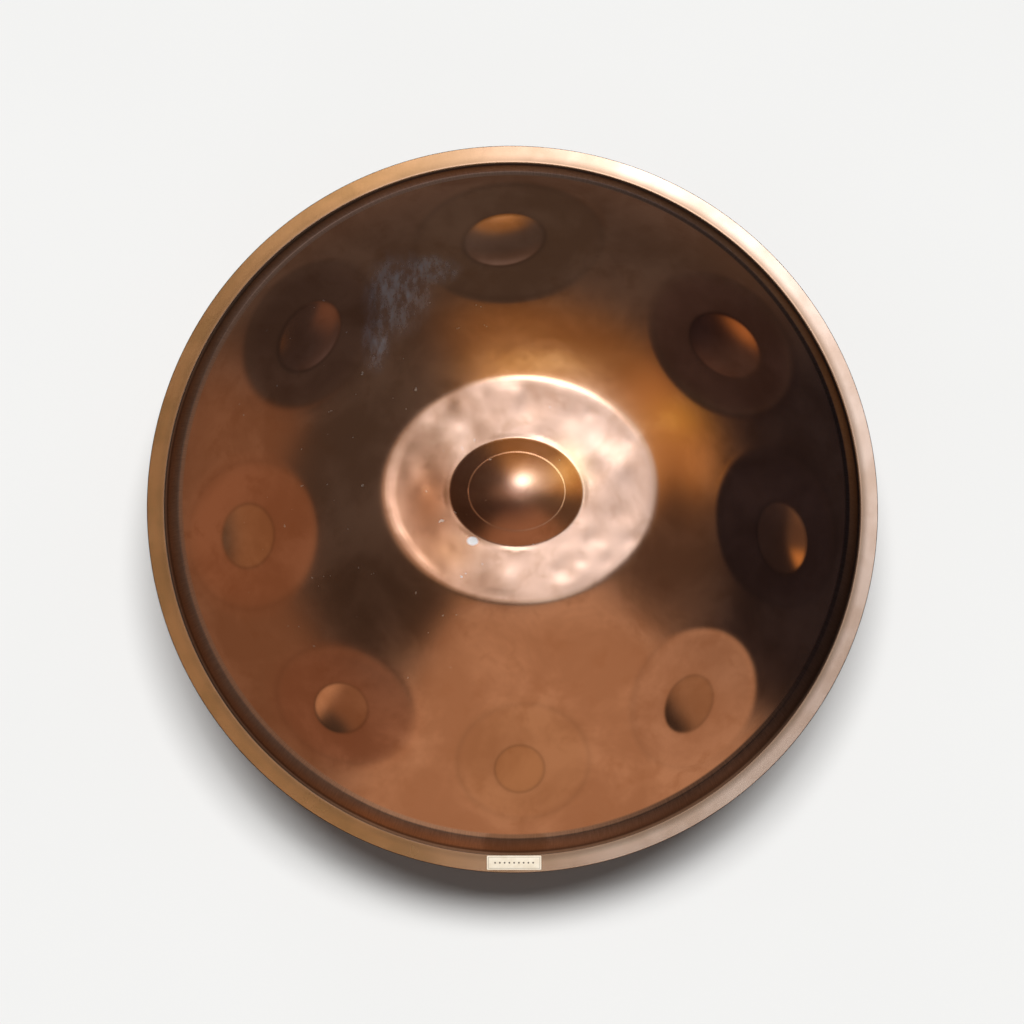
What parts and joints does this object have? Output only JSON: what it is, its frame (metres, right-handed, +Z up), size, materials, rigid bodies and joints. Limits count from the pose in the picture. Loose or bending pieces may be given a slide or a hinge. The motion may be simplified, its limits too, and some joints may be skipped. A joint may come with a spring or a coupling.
{
  "type": "handpan",
  "caption": "Handpan: two domed steel shells joined at a flat rim, with a raised ding, a ring of dimpled tone fields on top and a round sound port beneath.",
  "frame": {"origin": "middle of the flat ring round the sound port that the instrument rests on", "axes": "+Z up from the sound port to the ding; -Y to the player, where the name plate is; +X to the player's right"},
  "size_m": [0.5308, 0.5308, 0.2227],
  "materials": {
    "top_steel": "nitrided steel heat-coloured to a satin bronze, hand-hammered, with a sanded golden rim flange",
    "bottom_steel": "nitrided steel heat-coloured to a darker satin bronze",
    "adhesive": "dark cured structural adhesive",
    "plate": "satin cream name plate with no lettering",
    "pad": "thin adhesive pad"
  },
  "bodies": {
    "root": {"top_shell": "top_steel", "bottom_shell": "bottom_steel", "rim_adhesive_bead": "adhesive", "name_plate": "plate", "plate_adhesive_pad": "pad"}
  },
  "joints": []
}
